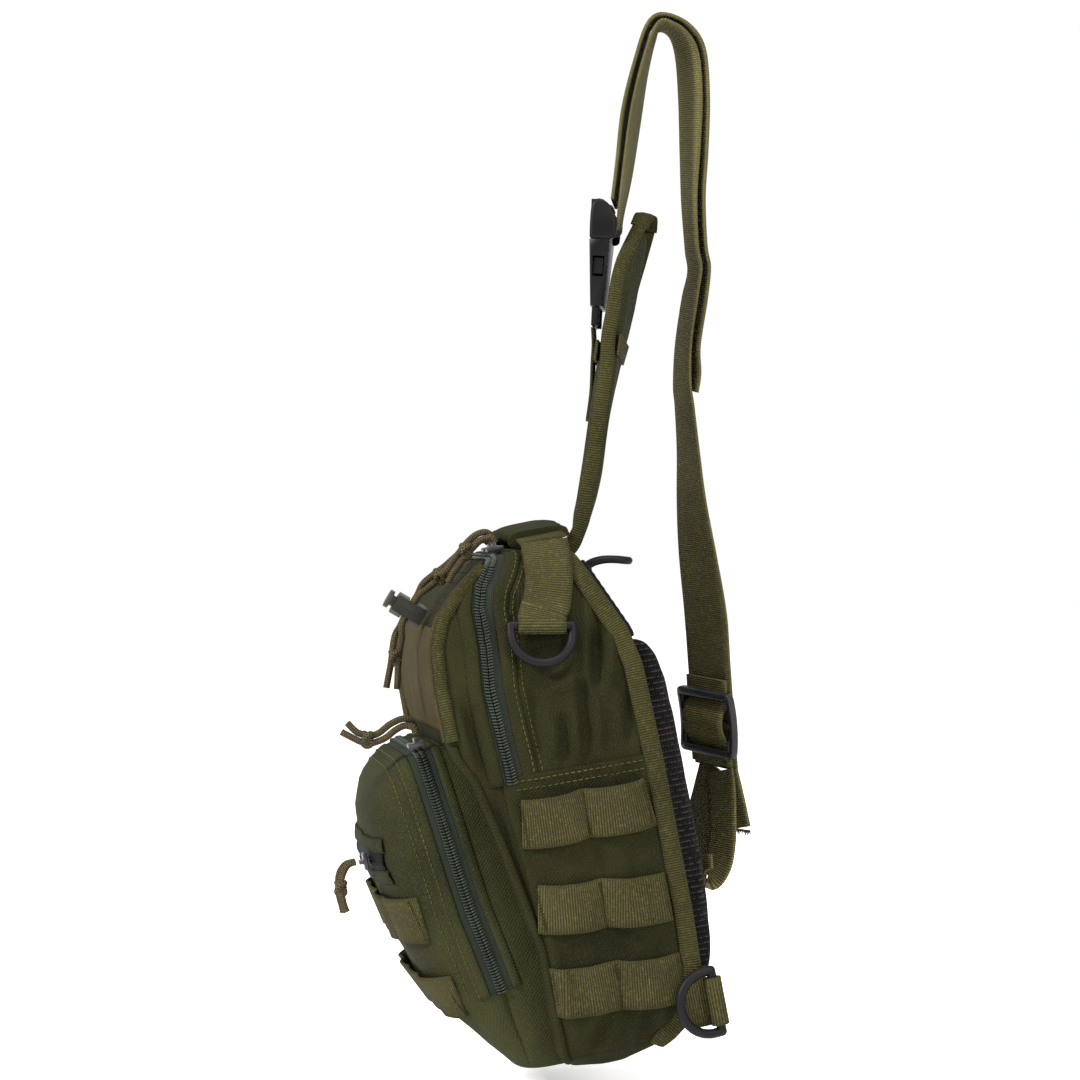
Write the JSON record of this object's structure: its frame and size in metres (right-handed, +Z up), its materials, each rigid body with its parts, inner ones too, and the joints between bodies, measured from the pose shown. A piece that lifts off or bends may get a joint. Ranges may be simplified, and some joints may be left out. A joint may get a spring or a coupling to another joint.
{
  "type": "sling bag",
  "caption": "One-shoulder sling bag: boxy zipped body with a bulging front pocket, webbing rows, mesh back pad, padded strap with side-release buckle.",
  "frame": {"origin": "the hanging point: the inner side of the strap at the top of its loop, where a hook bears", "axes": "+Z up, the bag's front faces -Y, the wearer's side +Y, the bag's own left is +X; the body hangs leaning 11 degrees, its top towards the front"},
  "size_m": [0.2326, 0.2319, 0.5623],
  "materials": {
    "body_fabric": "coarse woven nylon, matt",
    "pocket_fabric": "coarse woven nylon, matt",
    "pad_fabric": "padded woven nylon",
    "panel_fabric": "brushed loop fabric",
    "foam_sheet": "closed-cell foam",
    "mesh_fabric": "black spacer mesh with pale ribs",
    "binding": "ribbed grosgrain",
    "zip_tape": "woven tape with a moulded coil",
    "black_zip": "woven tape with a reversed coil",
    "row_webbing": "ribbed webbing",
    "strap_webbing": "ribbed webbing",
    "ring_plastic": "satin acetal",
    "buckle_plastic": "satin acetal",
    "triglide_plastic": "satin acetal",
    "slider_metal": "grey enamel",
    "pull_cord": "braided cord",
    "cord_lock_plastic": "satin plastic"
  },
  "bodies": {
    "bag": {"main_shell": "body_fabric", "back_sheet": "foam_sheet", "back_pad": "mesh_fabric", "body_binding": "binding", "main_zip_rear": "zip_tape", "side_panels": "body_fabric", "side_webbing_upper": "row_webbing", "side_webbing_middle": "row_webbing", "side_webbing_lower": "row_webbing", "handle_webbing": "row_webbing", "handle_wrap": "body_fabric", "ring_loops_upper": "row_webbing", "ring_loops_lower": "row_webbing", "rear_zip": "black_zip", "pocket_gusset": "body_fabric", "pocket_zip_rear": "zip_tape", "shoulder_pad": "pad_fabric", "pad_binding": "binding", "pad_band": "row_webbing", "pad_webbing": "row_webbing", "buckle_socket": "buckle_plastic", "buckle_plug": "buckle_plastic", "strap_webbing": "strap_webbing", "strap_return": "strap_webbing", "strap_lower": "strap_webbing", "strap_tail": "strap_webbing"},
    "main_flap": {"flap_shell": "body_fabric", "flap_panel": "panel_fabric", "flap_binding": "binding", "main_zip_front": "zip_tape"},
    "pocket_front": {"pocket_shell": "pocket_fabric", "pocket_zip_front": "zip_tape", "slit_zip": "black_zip", "front_webbing": "row_webbing"},
    "left_slider": {"main_slider_left": "slider_metal", "pull_cord_left": "pull_cord", "pull_knot_left": "pull_cord"},
    "right_slider": {"main_slider_right": "slider_metal", "pull_cord_right": "pull_cord", "pull_knots_right": "pull_cord", "cord_lock_barrel": "cord_lock_plastic"},
    "lock_plunger": {"cord_lock_plunger": "cord_lock_plastic"},
    "pocket_slider": {"pocket_slider": "slider_metal", "pocket_pull_cord": "pull_cord", "pocket_pull_knots": "pull_cord"},
    "slit_slider": {"slit_slider": "slider_metal", "slit_pull_cord": "pull_cord"},
    "rear_puller": {"rear_puller": "buckle_plastic"},
    "ring_upper_left": {"ring_upper_left": "ring_plastic"},
    "ring_upper_right": {"ring_upper_right": "ring_plastic"},
    "ring_lower_left": {"ring_lower_left": "ring_plastic"},
    "ring_lower_right": {"ring_lower_right": "ring_plastic"},
    "latch_left": {"latch_left": "buckle_plastic"},
    "latch_right": {"latch_right": "buckle_plastic"},
    "triglide": {"triglide": "triglide_plastic", "triglide_loop": "strap_webbing"}
  },
  "joints": [
    {"name": "main_flap_fold", "type": "hinge", "parent": "bag", "child": "main_flap", "pos_m": [0, -0.12953, -0.3854], "axis": [1, 0, 0], "range_deg": [0, 34]},
    {"name": "pocket_fold", "type": "hinge", "parent": "bag", "child": "pocket_front", "pos_m": [0, -0.08564, -0.55616], "axis": [1, 0, 0], "range_deg": [0, 40]},
    {"name": "left_zip_slide", "type": "slide", "parent": "main_flap", "child": "left_slider", "axis": [1, 0, 0], "range_m": [-0.002, 0.012]},
    {"name": "right_zip_slide", "type": "slide", "parent": "main_flap", "child": "right_slider", "axis": [1, 0, 0], "range_m": [-0.084, 0.002]},
    {"name": "cord_lock_press", "type": "slide", "parent": "right_slider", "child": "lock_plunger", "axis": [0, 0.866, -0.5], "range_m": [0, 0.002], "stiffness_N_per_m": 300, "springref_m": -0.001},
    {"name": "pocket_zip_slide", "type": "slide", "parent": "pocket_front", "child": "pocket_slider", "axis": [1, 0, 0], "range_m": [-0.118, 0.003]},
    {"name": "slit_zip_slide", "type": "slide", "parent": "pocket_front", "child": "slit_slider", "axis": [1, 0, 0], "range_m": [-0.095, 0.015]},
    {"name": "rear_zip_slide", "type": "slide", "parent": "bag", "child": "rear_puller", "axis": [1, 0, 0], "range_m": [-0.02, 0.008]},
    {"name": "upper_left_ring_swing", "type": "hinge", "parent": "bag", "child": "ring_upper_left", "pos_m": [0.0935, -0.08085, -0.32398], "axis": [0, 1, 0], "range_deg": [-95, 0]},
    {"name": "upper_right_ring_swing", "type": "hinge", "parent": "bag", "child": "ring_upper_right", "pos_m": [-0.0935, -0.08085, -0.32398], "axis": [0, 1, 0], "range_deg": [0, 95]},
    {"name": "lower_left_ring_swing", "type": "hinge", "parent": "bag", "child": "ring_lower_left", "pos_m": [0.1096, 0.00754, -0.51666], "axis": [0, -0.1908, 0.9816], "range_deg": [0, 160]},
    {"name": "lower_right_ring_swing", "type": "hinge", "parent": "bag", "child": "ring_lower_right", "pos_m": [-0.1096, 0.00754, -0.51666], "axis": [0, -0.1908, 0.9816], "range_deg": [-160, 0]},
    {"name": "left_latch_press", "type": "hinge", "parent": "bag", "child": "latch_left", "pos_m": [0.01565, -0.03793, -0.118], "axis": [0.2076, 0.9768, -0.0523], "range_deg": [0, 8], "stiffness_Nm_per_rad": 0.08, "springref_deg": -5.73},
    {"name": "right_latch_press", "type": "hinge", "parent": "bag", "child": "latch_right", "pos_m": [-0.01565, -0.03127, -0.118], "axis": [0.2076, 0.9768, -0.0523], "range_deg": [-8, 0], "stiffness_Nm_per_rad": 0.08, "springref_deg": 5.73},
    {"name": "triglide_slide", "type": "slide", "parent": "bag", "child": "triglide", "axis": [0.136, -0.0986, 0.9858], "range_m": [0, 0.035]}
  ]
}
